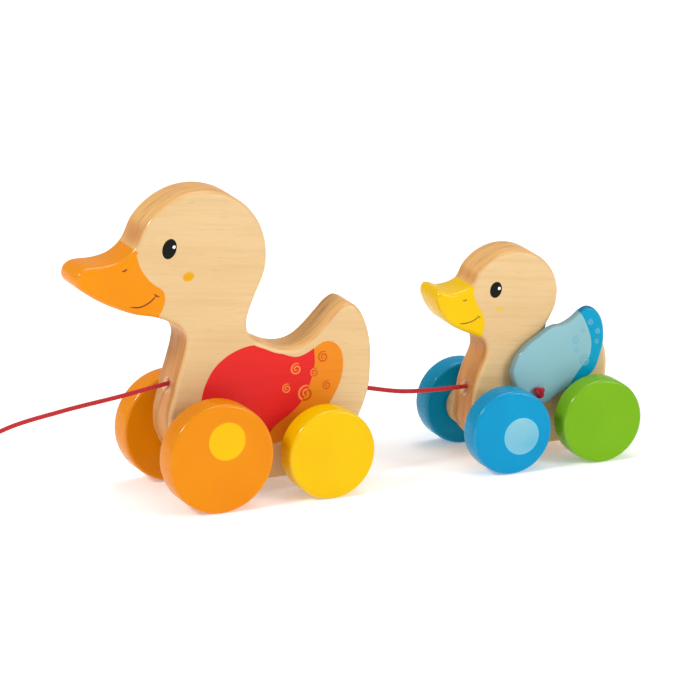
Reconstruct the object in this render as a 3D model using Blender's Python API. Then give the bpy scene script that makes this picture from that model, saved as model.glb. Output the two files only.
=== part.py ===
"""A wooden pull-along toy: a mother duck on four wheels pulls a duckling on four wheels.

Lengths in this file are millimetres and turn into metres when a mesh is made. The ducks face -X,
+Z is up and y = 0 is the middle plane of both ducks. x = 0 is the middle of the toy's length.
Outlines are (x, z) points, with x counted from that duck's own front axle and z from the floor.
"""

import math

import bmesh
import bpy
from mathutils import Matrix, Vector

MM = 0.001
GAP = 0.3  # left between pieces that touch

# Driving sizes
MOTHER_X = -80.45  # front axle of the mother
DUCKLING_X = 74.95  # front axle of the duckling
BODY_HALF = 11.0  # half the thickness of both duck boards
BODY_ROUND = 2.5  # rounding of the boards' edges
WHEEL_IN = 22.0  # |y| of every wheel's inner face
WHEEL_ROUND = 1.8
WHEEL_BORE_DEEP = 9.0
CORD = 2.2  # diameter

MOTHER_AXLE_R = 4.0
MOTHER_WHEEL_WIDE = 14.0
MOTHER_FRONT = (0.0, 27.5)  # axle position, the height is also the wheel's radius
MOTHER_REAR = (58.6, 22.5)

DUCKLING_AXLE_R = 3.5
DUCKLING_WHEEL_WIDE = 13.0
DUCKLING_FRONT = (0.0, 21.2)
DUCKLING_REAR = (49.1, 21.2)

SPACER_R = 10.5
CAM_R = 10.2
CAM_OFFSET = 5.0
CAM_HIGH_POINT = math.radians(-129.3)  # seen from the ducks' left, counted from +X towards +Z

WING_IN = BODY_HALF + GAP
WING_THICK = 5.5
WING_ROUND = 1.6
WING_PIVOT = (21.9, 35.1)
FAR_WING_RAISED = math.radians(43.0)  # the right wing rests further up than the left one
KNOT_R = 2.75

HOLE_R = 2.6
HOLE_DEEP = 11.0
SINK_R = 4.0  # mouth of a cord hole's countersink
CHEST_HOLE = (-13.9, 58.4)
TAIL_HOLE = (88.5, 44.2)
DUCKLING_HOLE = (-10.4, 36.9)
YAW_DEPTH = 2.0  # the link cord bends this far inside each hole's mouth

COIL_CENTRE = (-172.0, 7.0)
COIL_RING_R = 10.6  # middle of the bundle of turns
COIL_BUNDLE_R = 3.2
BEAD_CENTRE = (-166.0, -20.0)
BEAD_R = 9.0
BEAD_HOLE_R = 2.0

MOTHER_OUTLINE = [
    (-63.4, 121.4), (-59.5, 123.4), (-48.8, 123.6), (-40.5, 125.6),
    "head",
    (32.6, 108.5), (28.1, 98.6), (24.8, 89.7), (24.6, 83.0), (28.0, 78.0), (34.0, 75.0),
    (41.0, 71.9), (49.0, 70.8), (55.5, 72.6), (61.6, 77.0), (68.0, 83.2), (73.5, 88.4), (78.2, 90.3),
    (83.5, 87.0), (87.8, 78.3), (89.9, 67.5), (89.9, 55.8), (88.6, 44.8), (83.5, 31.3),
    (79.0, 20.0), (72.0, 10.0), (62.0, 6.0), (54.0, 6.0), (22.0, 6.0), (14.0, 6.0), (2.0, 8.5),
    (-9.0, 17.0), (-13.8, 26.0), (-17.3, 35.0), (-17.5, 44.5), (-15.3, 53.0), (-13.0, 61.7),
    (-10.3, 70.5), (-8.5, 77.0), (-8.0, 83.0), (-11.5, 88.7), (-17.4, 92.2), (-23.7, 94.8),
    (-33.9, 97.3), (-43.5, 101.2), (-53.0, 106.2), (-60.8, 111.6), (-64.1, 114.6),
    (-64.8, 118.0),
]
MOTHER_HEAD = ((-0.3, 120.3), 35.2, 162.0, -8.0)

DUCKLING_OUTLINE = [
    (-29.0, 90.3), (-26.6, 90.4), (-21.9, 88.8), (-15.6, 89.4),
    "head",
    (35.6, 83.0), (34.7, 76.8), (31.4, 70.1), (27.3, 63.5), (25.6, 57.5), (27.0, 52.0),
    (31.0, 49.4), (36.0, 50.0), (41.2, 53.6), (46.3, 58.6), (50.6, 61.8), (54.2, 62.4),
    (58.0, 60.0), (60.9, 54.0), (62.6, 47.0), (62.6, 39.0), (61.2, 31.7), (57.6, 21.6),
    (54.5, 13.8), (49.7, 7.4), (42.0, 5.5), (36.0, 5.5), (14.0, 5.5), (8.0, 5.5), (-1.0, 6.6),
    (-8.0, 12.5), (-12.2, 20.0), (-11.6, 27.0), (-11.0, 33.5), (-9.8, 39.7), (-7.4, 46.5),
    (-4.2, 53.3), (-3.2, 57.6), (-4.2, 61.8), (-8.0, 65.0), (-13.0, 67.3), (-20.1, 71.0),
    (-24.3, 74.4), (-27.9, 79.6), (-29.8, 83.9), (-30.4, 87.4),
]
DUCKLING_HEAD = ((11.4, 82.3), 24.4, 158.0, 4.0)

WING_OUTLINE = [
    (9.4, 40.4), (8.2, 45.6), (9.4, 50.4), (12.2, 55.0), (16.6, 59.3), (22.4, 63.0),
    (28.0, 66.3), (31.6, 67.4), (35.6, 67.6), (40.4, 69.8), (45.2, 73.3), (48.8, 74.9),
    (52.0, 74.4), (54.7, 71.9), (57.0, 67.8), (58.1, 62.0), (57.8, 55.2), (56.0, 48.8),
    (54.1, 43.8), (51.0, 40.2), (41.5, 35.4), (31.1, 30.6), (28.3, 28.6), (24.4, 28.3),
    (18.6, 29.2), (13.1, 33.0),
]

PULL_ROUTE = [  # (x, y, z) from the mother's front axle, middle plane and floor
    (-7.5, 0.0, 58.4), (-14.3, 0.0, 57.7), (-38.4, 0.0, 54.2), (-69.7, 0.0, 50.3),
    (-100.0, 0.0, 44.5), (-123.0, 0.0, 33.0), (-137.0, 0.0, 17.0), (-146.0, -1.0, 4.5),
    (-154.5, -4.5, 1.5), (-164.5, -7.0, 1.5),
]
TAIL_ROUTE = [
    (-180.5, -6.0, 1.5), (-188.0, -11.5, 1.8), (-186.5, -18.5, 5.5), (-180.0, -20.0, 8.5),
    (-173.0, -20.0, 9.0), (-155.6, -20.0, 9.0),
]
LINK_ROUTE = [
    (86.5, 0.0, 44.2), (93.4, 0.0, 42.4), (110.2, 0.0, 38.7), (126.4, 0.0, 37.3),
    (147.0, 0.0, 36.9),
]

COLOURS = {
    "beech": ((0.82, 0.56, 0.32), 0.45),
    "orange_paint": ((0.87, 0.27, 0.012), 0.25),
    "yellow_paint": ((0.95, 0.58, 0.002), 0.25),
    "blue_paint": ((0.0, 0.32, 0.62), 0.25),
    "green_paint": ((0.22, 0.50, 0.017), 0.25),
    "wing_paint": ((0.27, 0.52, 0.58), 0.3),
    "axle_wood": ((0.72, 0.50, 0.28), 0.5),
    "red_cord": ((0.62, 0.02, 0.03), 0.85),
}


def clear_scene():
    for obj in list(bpy.data.objects):
        bpy.data.objects.remove(obj, do_unlink=True)


def paint(obj, slot):
    colour, roughness = COLOURS[slot]
    material = bpy.data.materials.new(f"{obj.name}_{slot}")
    material.use_nodes = True
    shader = material.node_tree.nodes["Principled BSDF"]
    shader.inputs["Base Color"].default_value = (*colour, 1.0)
    shader.inputs["Roughness"].default_value = roughness
    shader.inputs["Metallic"].default_value = 0.0
    obj.data.materials.append(material)


def mesh_object(name, verts, faces, slot, origin, smooth=False):
    """An object whose origin is at origin. verts are millimetres in the toy's frame."""
    mesh = bpy.data.meshes.new(name)
    local = [(Vector(v) - Vector(origin)) * MM for v in verts]
    mesh.from_pydata(local, [], faces)
    bm = bmesh.new()
    bm.from_mesh(mesh)
    bmesh.ops.recalc_face_normals(bm, faces=bm.faces)
    bm.to_mesh(mesh)
    bm.free()
    for face in mesh.polygons:
        face.use_smooth = smooth
    obj = bpy.data.objects.new(name, mesh)
    obj.location = Vector(origin) * MM
    bpy.context.scene.collection.objects.link(obj)
    if slot:
        paint(obj, slot)
    return obj


def curve_points(points, step, closed):
    """Points about step apart on a Catmull-Rom curve through the given points."""
    points = [Vector(p) for p in points]
    count = len(points)
    found = []
    for i in range(count if closed else count - 1):
        if closed:
            before, start, end, after = (points[(i + k) % count] for k in (-1, 0, 1, 2))
        else:
            start, end = points[i], points[i + 1]
            before = points[i - 1] if i else start * 2 - end
            after = points[i + 2] if i + 2 < count else end * 2 - start
        reach = (end - start).length
        tangent_a = (end - before) * (reach / max((end - before).length, 1e-6))
        tangent_b = (after - start) * (reach / max((after - start).length, 1e-6))
        pieces = max(1, round(reach / step))
        for k in range(pieces):
            t = k / pieces
            found.append(
                start * (2 * t**3 - 3 * t**2 + 1)
                + tangent_a * (t**3 - 2 * t**2 + t)
                + end * (3 * t**2 - 2 * t**3)
                + tangent_b * (t**3 - t**2)
            )
    if not closed:
        found.append(points[-1])
    return found


def arc(centre, radius, start_deg, end_deg, steps):
    turns = [
        math.radians(start_deg + (end_deg - start_deg) * k / steps) for k in range(steps + 1)
    ]
    return [(centre[0] + radius * math.cos(a), centre[1] + radius * math.sin(a)) for a in turns]


def duck_outline(points, head):
    """The hand-set points with the round of the head put in, as one closed smooth curve."""
    whole = []
    for point in points:
        whole += arc(*head, 9) if point == "head" else [point]
    return curve_points(whole, 4.5, closed=True)


def outward(loop):
    """Unit normals that point out of a closed 2-D loop."""
    count = len(loop)
    area = sum(
        loop[i].x * loop[(i + 1) % count].y - loop[(i + 1) % count].x * loop[i].y
        for i in range(count)
    )
    side = 1.0 if area > 0 else -1.0
    normals = []
    for i in range(count):
        along = (loop[(i + 1) % count] - loop[i - 1]).normalized()
        normals.append(Vector((along.y, -along.x)) * side)
    return normals


def board(name, loop, shift, y_low, y_high, rounding, slot, origin, steps=2):
    """A flat board cut to a closed outline, with both rims rounded."""
    normals = outward(loop)
    rims = []
    for k in range(steps + 1):
        turn = math.radians(90.0 * k / steps)
        rims.append((rounding * (1 - math.sin(turn)), rounding * (1 - math.cos(turn))))
    levels = [(inset, y_low + deep) for inset, deep in rims]
    levels += [(inset, y_high - deep) for inset, deep in reversed(rims)]
    count = len(loop)
    verts = []
    for inset, y in levels:
        for point, normal in zip(loop, normals, strict=True):
            edge = point - normal * inset
            verts.append((edge.x + shift, y, edge.y))
    faces = []
    for ring in range(len(levels) - 1):
        for i in range(count):
            j = (i + 1) % count
            base, above = ring * count, (ring + 1) * count
            faces.append((base + i, base + j, above + j, above + i))
    faces.append(tuple(range(count)))
    faces.append(tuple(range((len(levels) - 1) * count, len(levels) * count)))
    return mesh_object(name, verts, faces, slot, origin)


def turned(name, profile, centre, slot, segments, origin=None, smooth=True, axis="Y", loop=False):
    """A solid turned about the Y or Z axis through centre from (along, radius) profile points.

    The profile runs from axis to axis, or is a closed loop clear of the axis.
    """
    verts, rings = [], []
    for along, radius in profile:
        turns = 1 if radius == 0.0 else segments
        rings.append(range(len(verts), len(verts) + turns))
        for k in range(turns):
            angle = math.tau * k / segments - math.pi / 2
            across = Vector((radius * math.cos(angle), radius * math.sin(angle)))
            spot = (across.x, along, across.y) if axis == "Y" else (across.x, across.y, along)
            verts.append(Vector(centre) + Vector(spot))
    pairs = list(zip(rings, rings[1:], strict=False))
    if loop:
        pairs.append((rings[-1], rings[0]))
    faces = []
    for low, high in pairs:
        for k in range(segments):
            n = (k + 1) % segments
            if len(low) == 1:
                faces.append((low[0], high[n], high[k]))
            elif len(high) == 1:
                faces.append((low[k], low[n], high[0]))
            else:
                faces.append((low[k], low[n], high[n], high[k]))
    return mesh_object(name, verts, faces, slot, origin or centre, smooth)


def cutter(name, start, end, radius, end_radius=None, segments=24):
    """A hidden cylinder or cone from start to end, for boring holes."""
    start, end = Vector(start), Vector(end)
    end_radius = radius if end_radius is None else end_radius
    turn = (end - start).to_track_quat("Z", "Y").to_matrix()
    verts = []
    for centre, size in ((start, radius), (end, end_radius)):
        for k in range(segments):
            angle = math.tau * (k + 0.5) / segments
            offset = Vector((size * math.cos(angle), size * math.sin(angle), 0.0))
            verts.append(centre + turn @ offset)
    faces = [
        (k, (k + 1) % segments, segments + (k + 1) % segments, segments + k)
        for k in range(segments)
    ]
    faces.append(tuple(range(segments)))
    faces.append(tuple(range(segments, 2 * segments)))
    obj = mesh_object(name, verts, faces, None, (0, 0, 0))
    obj.hide_render = True
    obj.display_type = "WIRE"
    return obj


def bore(target, name, start, end, radius, end_radius=None):
    cut = target.modifiers.new(name, "BOOLEAN")
    cut.operation = "DIFFERENCE"
    cut.solver = "EXACT"
    cut.object = cutter(f"cut_{target.name}_{name}", start, end, radius, end_radius)


def cord_hole(target, name, mouth, side):
    """A blind hole along X with a countersunk mouth. side is -1 for a chest and 1 for a tail."""
    x, z = mouth
    past = 2.5
    bore(target, name, (x + side * past, 0, z), (x - side * HOLE_DEEP, 0, z), HOLE_R)
    wide = SINK_R + past
    sink = SINK_R - YAW_DEPTH
    bore(
        target, f"{name}_sink", (x + side * past, 0, z), (x - side * YAW_DEPTH, 0, z), wide, sink
    )


def axle_bores(target, duck_x, axles, radius):
    for name, (x, z) in zip(("front", "rear"), axles, strict=True):
        ends = [(duck_x + x, y, z) for y in (-BODY_HALF - 2, BODY_HALF + 2)]
        bore(target, f"{name}_axle", *ends, radius + GAP)


def wheel(name, duck_x, axle, side, wide, axle_r, slot):
    """A wooden wheel with rounded rims and a blind bore for its axle."""
    x, radius = axle
    rim = [
        (WHEEL_ROUND * (1 - math.cos(t)), radius - WHEEL_ROUND * (1 - math.sin(t)))
        for t in (0.0, math.pi / 4, math.pi / 2)
    ]
    bore_r = axle_r + GAP
    profile = [(WHEEL_BORE_DEEP, 0.0), (WHEEL_BORE_DEEP, bore_r), (0.0, bore_r)]
    profile += rim
    profile += [(wide - along, r) for along, r in reversed(rim)]
    profile.append((wide, 0.0))
    profile = [(side * (WHEEL_IN + along), r) for along, r in profile]
    obj = turned(name, profile, (duck_x + x, 0.0, radius), slot, 40, smooth=False)
    smooth_rounds(obj)


def smooth_rounds(obj):
    """Smooth shading on every face except the flat ends across Y."""
    for face in obj.data.polygons:
        face.use_smooth = abs(face.normal.y) < 0.99


def axle(name, duck_x, spot, radius):
    half = WHEEL_IN + WHEEL_BORE_DEEP - GAP
    x, z = spot
    profile = [(-half, 0.0), (-half, radius), (half, radius), (half, 0.0)]
    obj = turned(name, profile, (duck_x + x, 0.0, z), "axle_wood", 24, smooth=False)
    smooth_rounds(obj)


def spacer(name, duck_x, spot, side, bore_r, outer_r=SPACER_R, offset=0.0, towards=0.0):
    """A disc between a body and a wheel. One drilled off-centre is a cam."""
    x, z = spot
    centre = Vector((duck_x + x, 0.0, z))
    shift = Vector((offset * math.cos(towards), 0.0, offset * math.sin(towards)))
    segments = 32
    inner_y, outer_y = side * (BODY_HALF + GAP), side * (WHEEL_IN - GAP)
    verts = []
    for y in (inner_y, outer_y):
        for radius, move in ((outer_r, shift), (bore_r, Vector())):
            for k in range(segments):
                angle = math.tau * k / segments
                round_spot = Vector((radius * math.cos(angle), y, radius * math.sin(angle)))
                verts.append(centre + move + round_spot)
    faces = []
    for k in range(segments):
        n = (k + 1) % segments
        rings = [base * segments for base in (0, 1, 3, 2)]
        for a, b in zip(rings, rings[1:] + rings[:1], strict=True):
            faces.append((a + k, a + n, b + n, b + k))
    obj = mesh_object(name, verts, faces, "beech", centre)
    smooth_rounds(obj)


def tube(name, route, diameter, step, origin=None):
    """A closed tube along a smooth curve through the route's points."""
    points = curve_points(route, step, closed=False)
    origin = Vector(origin or (0, 0, 0))
    curve = bpy.data.curves.new(name, "CURVE")
    curve.dimensions = "3D"
    curve.bevel_depth = diameter / 2 * MM
    curve.bevel_resolution = 2
    curve.use_fill_caps = True
    spline = curve.splines.new("POLY")
    spline.points.add(len(points) - 1)
    for spot, point in zip(spline.points, points, strict=True):
        spot.co = (*((point - origin) * MM), 1.0)
    obj = bpy.data.objects.new(name, curve)
    obj.location = origin * MM
    bpy.context.scene.collection.objects.link(obj)
    paint(obj, "red_cord")


def knot(name, centre, half_long, radius, along="X"):
    """A pulled-tight knot as a small egg."""
    verts_profile = [
        (-half_long * math.cos(a), radius * math.sin(a))
        for a in (math.pi * k / 6 for k in range(7))
    ]
    verts_profile[0] = (-half_long, 0.0)
    verts_profile[-1] = (half_long, 0.0)
    obj = turned(name, verts_profile, centre, "red_cord", 12)
    if along == "X":
        obj.data.transform(Matrix.Rotation(math.pi / 2, 4, "Z"))


def shifted(route, x):
    return [(p[0] + x, p[1], p[2]) for p in route]


def mother():
    loop = duck_outline(MOTHER_OUTLINE, MOTHER_HEAD)
    body = board(
        "mother_body", loop, MOTHER_X, -BODY_HALF, BODY_HALF, BODY_ROUND, "beech", (MOTHER_X, 0, 0)
    )
    axle_bores(body, MOTHER_X, (MOTHER_FRONT, MOTHER_REAR), MOTHER_AXLE_R)
    cord_hole(body, "chest", (MOTHER_X + CHEST_HOLE[0], CHEST_HOLE[1]), -1)
    cord_hole(body, "tail", (MOTHER_X + TAIL_HOLE[0], TAIL_HOLE[1]), 1)
    for place, spot, slot in (
        ("front", MOTHER_FRONT, "orange_paint"),
        ("rear", MOTHER_REAR, "yellow_paint"),
    ):
        axle(f"mother_{place}_axle", MOTHER_X, spot, MOTHER_AXLE_R)
        for hand, side in (("left", -1), ("right", 1)):
            wheel(
                f"mother_{place}_wheel_{hand}",
                MOTHER_X, spot, side, MOTHER_WHEEL_WIDE, MOTHER_AXLE_R, slot,
            )
            spacer(
                f"mother_{place}_spacer_{hand}", MOTHER_X, spot, side, MOTHER_AXLE_R + GAP
            )


def duckling():
    loop = duck_outline(DUCKLING_OUTLINE, DUCKLING_HEAD)
    pivot = (DUCKLING_X + DUCKLING_HOLE[0] + YAW_DEPTH, 0, DUCKLING_HOLE[1])
    body = board(
        "duckling_body", loop, DUCKLING_X, -BODY_HALF, BODY_HALF, BODY_ROUND, "beech", pivot
    )
    axle_bores(body, DUCKLING_X, (DUCKLING_FRONT, DUCKLING_REAR), DUCKLING_AXLE_R)
    cord_hole(body, "chest", (DUCKLING_X + DUCKLING_HOLE[0], DUCKLING_HOLE[1]), -1)
    x, z = DUCKLING_X + WING_PIVOT[0], WING_PIVOT[1]
    bore(body, "wing_cord", (x, -BODY_HALF - 2, z), (x, BODY_HALF + 2, z), CORD / 2 + GAP)
    for place, spot, slot in (
        ("front", DUCKLING_FRONT, "blue_paint"),
        ("rear", DUCKLING_REAR, "green_paint"),
    ):
        axle(f"duckling_{place}_axle", DUCKLING_X, spot, DUCKLING_AXLE_R)
        for hand, side in (("left", -1), ("right", 1)):
            wheel(
                f"duckling_{place}_wheel_{hand}",
                DUCKLING_X, spot, side, DUCKLING_WHEEL_WIDE, DUCKLING_AXLE_R, slot,
            )
    for hand, side in (("left", -1), ("right", 1)):
        bore_r = DUCKLING_AXLE_R + GAP
        spacer(f"duckling_front_spacer_{hand}", DUCKLING_X, DUCKLING_FRONT, side, bore_r)
        spacer(
            f"wing_cam_{hand}", DUCKLING_X, DUCKLING_REAR, side, bore_r,
            CAM_R, CAM_OFFSET, CAM_HIGH_POINT,
        )


def raised(loop, angle):
    """The wing's outline turned about its pivot. A positive angle lifts the wing's tip."""
    pivot = Vector(WING_PIVOT)
    turn = Matrix.Rotation(angle, 2)
    return [pivot + turn @ (point - pivot) for point in loop]


def wings():
    loop = curve_points(WING_OUTLINE, 3.0, closed=True)
    x, z = DUCKLING_X + WING_PIVOT[0], WING_PIVOT[1]
    for hand, side, angle in (("left", -1, 0.0), ("right", 1, FAR_WING_RAISED)):
        low, high = sorted((side * WING_IN, side * (WING_IN + WING_THICK)))
        wing = board(
            f"duckling_wing_{hand}", raised(loop, angle), DUCKLING_X, low, high,
            WING_ROUND, "wing_paint", (x, 0, z),
        )
        bore(wing, "cord", (x, low - 2, z), (x, high + 2, z), CORD / 2 + GAP)
        face = WING_IN + WING_THICK
        knot(f"wing_knot_{hand}", (x, side * (face + GAP + 1.9), z), 1.9, KNOT_R, along="Y")
    reach = WING_IN + WING_THICK - GAP
    tube("wing_cord", [(x, -reach, z), (x, 0, z), (x, reach, z)], CORD, 12.0)


def cords():
    tube("pull_cord", shifted(PULL_ROUTE, MOTHER_X), CORD, 4.5)
    knot(
        "pull_cord_anchor_knot",
        (MOTHER_X + PULL_ROUTE[0][0] + GAP + 1.9, 0, PULL_ROUTE[0][2]), 1.8, 2.2,
    )
    ring = [
        (
            COIL_BUNDLE_R * (1 + math.sin(math.tau * k / 10)),
            COIL_RING_R + COIL_BUNDLE_R * math.cos(math.tau * k / 10),
        )
        for k in range(10)
    ]
    centre = (MOTHER_X + COIL_CENTRE[0], COIL_CENTRE[1], 0.0)
    turned("pull_cord_coil", ring, centre, "red_cord", 32, axis="Z", loop=True)
    tube("pull_cord_tail", shifted(TAIL_ROUTE, MOTHER_X), CORD, 3.5)
    bead()
    tube(
        "link_cord", shifted(LINK_ROUTE, MOTHER_X), CORD, 5.0,
        (MOTHER_X + LINK_ROUTE[0][0], 0, LINK_ROUTE[0][2]),
    )
    knot("link_cord_front_knot", (MOTHER_X + TAIL_HOLE[0] - 5.4, 0, TAIL_HOLE[1]), 2.0, 2.2)
    knot(
        "link_cord_rear_knot",
        (DUCKLING_X + DUCKLING_HOLE[0] + 5.4, 0, DUCKLING_HOLE[1]), 2.0, 2.2,
    )


def bead():
    """The turned wooden bead at the pull cord's end, drilled along X, and the knot that stops it."""
    half = math.sqrt(BEAD_R**2 - BEAD_HOLE_R**2)
    edge = math.asin(BEAD_HOLE_R / BEAD_R)
    profile = [(-half, BEAD_HOLE_R)]
    for k in range(1, 12):
        angle = edge + (math.pi - 2 * edge) * k / 12
        profile.append((-BEAD_R * math.cos(angle), BEAD_R * math.sin(angle)))
    profile.append((half, BEAD_HOLE_R))
    x, y = MOTHER_X + BEAD_CENTRE[0], BEAD_CENTRE[1]
    obj = turned("pull_bead", profile, (x, y, BEAD_R), "beech", 24, loop=True)
    obj.data.transform(Matrix.Rotation(math.pi / 2, 4, "Z"))
    knot("bead_knot", (x + BEAD_R + 3.8, y, BEAD_R), 2.0, 2.75)


clear_scene()
mother()
duckling()
wings()
cords()
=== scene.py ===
"""Looks for the wooden mother duck and duckling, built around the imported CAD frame.

Sizes and places are millimetres in the toy's frame and turn into metres when a mesh is made.
The ducks face -X, +Z is up and y = 0 is the middle plane of both ducks. Outlines are (x, z)
points, with x counted from that duck's own front axle and z from the floor.
"""

import math
from itertools import pairwise

import bmesh
import bpy
import numpy as np
from mathutils import Matrix, Vector
from mathutils.geometry import delaunay_2d_cdt


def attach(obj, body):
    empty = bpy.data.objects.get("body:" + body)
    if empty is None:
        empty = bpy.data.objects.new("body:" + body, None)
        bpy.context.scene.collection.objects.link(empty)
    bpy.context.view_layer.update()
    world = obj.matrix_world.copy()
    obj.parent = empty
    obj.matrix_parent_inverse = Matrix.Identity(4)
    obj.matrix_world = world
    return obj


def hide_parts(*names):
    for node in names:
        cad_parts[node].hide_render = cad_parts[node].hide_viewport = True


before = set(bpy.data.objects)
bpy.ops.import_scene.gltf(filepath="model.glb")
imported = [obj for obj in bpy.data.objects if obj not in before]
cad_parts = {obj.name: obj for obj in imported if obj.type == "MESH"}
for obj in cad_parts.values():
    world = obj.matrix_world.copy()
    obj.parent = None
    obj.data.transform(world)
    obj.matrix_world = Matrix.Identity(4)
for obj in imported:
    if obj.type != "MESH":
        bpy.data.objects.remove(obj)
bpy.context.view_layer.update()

MM = 0.001
SIDES = (("left", -1), ("right", 1))

MOTHER_X = -80.45  # each duck's front axle
DUCKLING_X = 74.95
MOTHER_FRONT = (0.0, 27.5)  # axles; a wheel's radius is its axle's height
MOTHER_REAR = (58.6, 22.5)
DUCKLING_FRONT = (0.0, 21.2)
DUCKLING_REAR = (49.1, 21.2)
MOTHER_BORE = 4.3
DUCKLING_BORE = 3.8
BODY_HALF = 11.0
BODY_ROUND = 2.5
WHEEL_IN = 22.0
MOTHER_WHEEL_WIDE = 14.0
DUCKLING_WHEEL_WIDE = 13.0
WHEEL_BORE_DEEP = 9.0
WHEEL_ROUND = 1.8
WHEEL_SEGMENTS = 96
MOTHER_DOT = ((2.7, 36.4), 9.7)  # centre, radius
DUCKLING_DOT = ((4.7, 19.1), 9.3)
DOT_RIM = 0.35
DISC_GAP = 0.3
SPACER_R = 10.5
CAM_R = 10.2
CAM_OFFSET = 5.0
CAM_TOWARDS = math.radians(-129.3)

WING_IN = 11.3
WING_THICK = 5.5
WING_ROUND = 1.6
WING_PIVOT = (21.9, 35.1)
WING_HOLE_R = 1.5
FAR_WING_RAISED = math.radians(43.0)

CORD = 2.2  # across
CHEST_HOLE = (-13.9, 58.4)
TAIL_HOLE = (88.5, 44.2)
DUCKLING_CHEST_HOLE = (-10.4, 36.9)
CORD_HOLE_R = 2.2
CORD_HOLE_DEEP = 11.0
SINK_R = 6.3  # of the countersink
SINK_DEEP = 1.6
KNOT_SIZE = 0.62
KNOT_OUT = 1.9  # a wing knot's centre from the wing's face

COIL_CENTRE = (-172.0, 7.0)
COIL_RING_R = 10.6
COIL_START_DEG = -72.0
COIL_END_DEG = -88.0
COIL_PLACES = [  # from the bundle's middle in cord widths, direction in degrees
    (1.12, -90), (1.0, -30), (0.0, 0), (1.0, 30), (1.0, 90), (1.0, 150), (1.0, 210),
]
COIL_SQUASH = (0.98, 0.88)  # across, up
BEAD_R = 9.0
BEAD_HOLE_R = 2.0
BEAD_AT = (-166.0, -20.0)
BEAD_KNOT_X = -153.6

CAMERA_AT = (-1437.9, -3268.15, 1124.44)
CAMERA_AZIMUTH = math.radians(-23.79)
CAMERA_ELEVATION = math.radians(16.55)
CAMERA_LENS = 390.96

WORLD_LIGHT = 0.5
FLOOR_GLOW = 0.25
LAMPS = [  # name, place in metres, size in metres, watts
    ("key", (1.4, -1.7, 0.9), (1.0, 1.0), 24.0),
    ("left", (-1.65, -0.35, 1.5), (0.4, 0.4), 19.0),
    ("top", (0.4, 0.4, 2.1), (1.2, 1.2), 13.0),
]

# ---------------- outlines

MOTHER_OUTLINE = [
    (-63.4, 121.4), (-59.5, 123.4), (-48.8, 123.6), (-40.5, 125.6),
    "head",
    (32.6, 108.5), (28.1, 98.6), (24.8, 89.7), (24.6, 83.0), (28.0, 78.0), (34.0, 75.0),
    (41.0, 71.9), (49.0, 70.8), (55.5, 72.6), (61.6, 77.0), (68.0, 83.2), (73.5, 88.4), (78.2, 90.3),
    (83.5, 87.0), (87.8, 78.3), (89.9, 67.5), (89.9, 55.8), (88.6, 44.8), (83.5, 31.3),
    (79.0, 20.0), (72.0, 10.0), (62.0, 6.0), (54.0, 6.0), (22.0, 6.0), (14.0, 6.0), (2.0, 8.5),
    (-9.0, 17.0), (-13.8, 26.0), (-17.3, 35.0), (-17.5, 44.5), (-15.3, 53.0), (-13.0, 61.7),
    (-10.3, 70.5), (-8.5, 77.0), (-8.0, 83.0), (-11.5, 88.7), (-17.4, 92.2), (-23.7, 94.8),
    (-33.9, 97.3), (-43.5, 101.2), (-53.0, 106.2), (-60.8, 111.6), (-64.1, 114.6),
    (-64.8, 118.0),
]
MOTHER_HEAD = ((-0.3, 120.3), 35.2, 162.0, -8.0)  # arc: centre, radius, degrees from and to

DUCKLING_OUTLINE = [
    (-29.0, 90.3), (-26.6, 90.4), (-21.9, 88.8), (-15.6, 89.4),
    "head",
    (35.6, 83.0), (34.7, 76.8), (31.4, 70.1), (27.3, 63.5), (25.6, 57.5), (27.0, 52.0),
    (31.0, 49.4), (36.0, 50.0), (41.2, 53.6), (46.3, 58.6), (50.6, 61.8), (54.2, 62.4),
    (58.0, 60.0), (60.9, 54.0), (62.6, 47.0), (62.6, 39.0), (61.2, 31.7), (57.6, 21.6),
    (54.5, 13.8), (49.7, 7.4), (42.0, 5.5), (36.0, 5.5), (14.0, 5.5), (8.0, 5.5), (-1.0, 6.6),
    (-8.0, 12.5), (-12.2, 20.0), (-11.6, 27.0), (-11.0, 33.5), (-9.8, 39.7), (-7.4, 46.5),
    (-4.2, 53.3), (-3.2, 57.6), (-4.2, 61.8), (-8.0, 65.0), (-13.0, 67.3), (-20.1, 71.0),
    (-24.3, 74.4), (-27.9, 79.6), (-29.8, 83.9), (-30.4, 87.4),
]
DUCKLING_HEAD = ((11.4, 82.3), 24.4, 158.0, 4.0)

WING_OUTLINE = [
    (9.4, 40.4), (8.2, 45.6), (9.4, 50.4), (12.2, 55.0), (16.6, 59.3), (22.4, 63.0),
    (28.0, 66.3), (31.6, 67.4), (35.6, 67.6), (40.4, 69.8), (45.2, 73.3), (48.8, 74.9),
    (52.0, 74.4), (54.7, 71.9), (57.0, 67.8), (58.1, 62.0), (57.8, 55.2), (56.0, 48.8),
    (54.1, 43.8), (51.0, 40.2), (41.5, 35.4), (31.1, 30.6), (28.3, 28.6), (24.4, 28.3),
    (18.6, 29.2), (13.1, 33.0),
]

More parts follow.
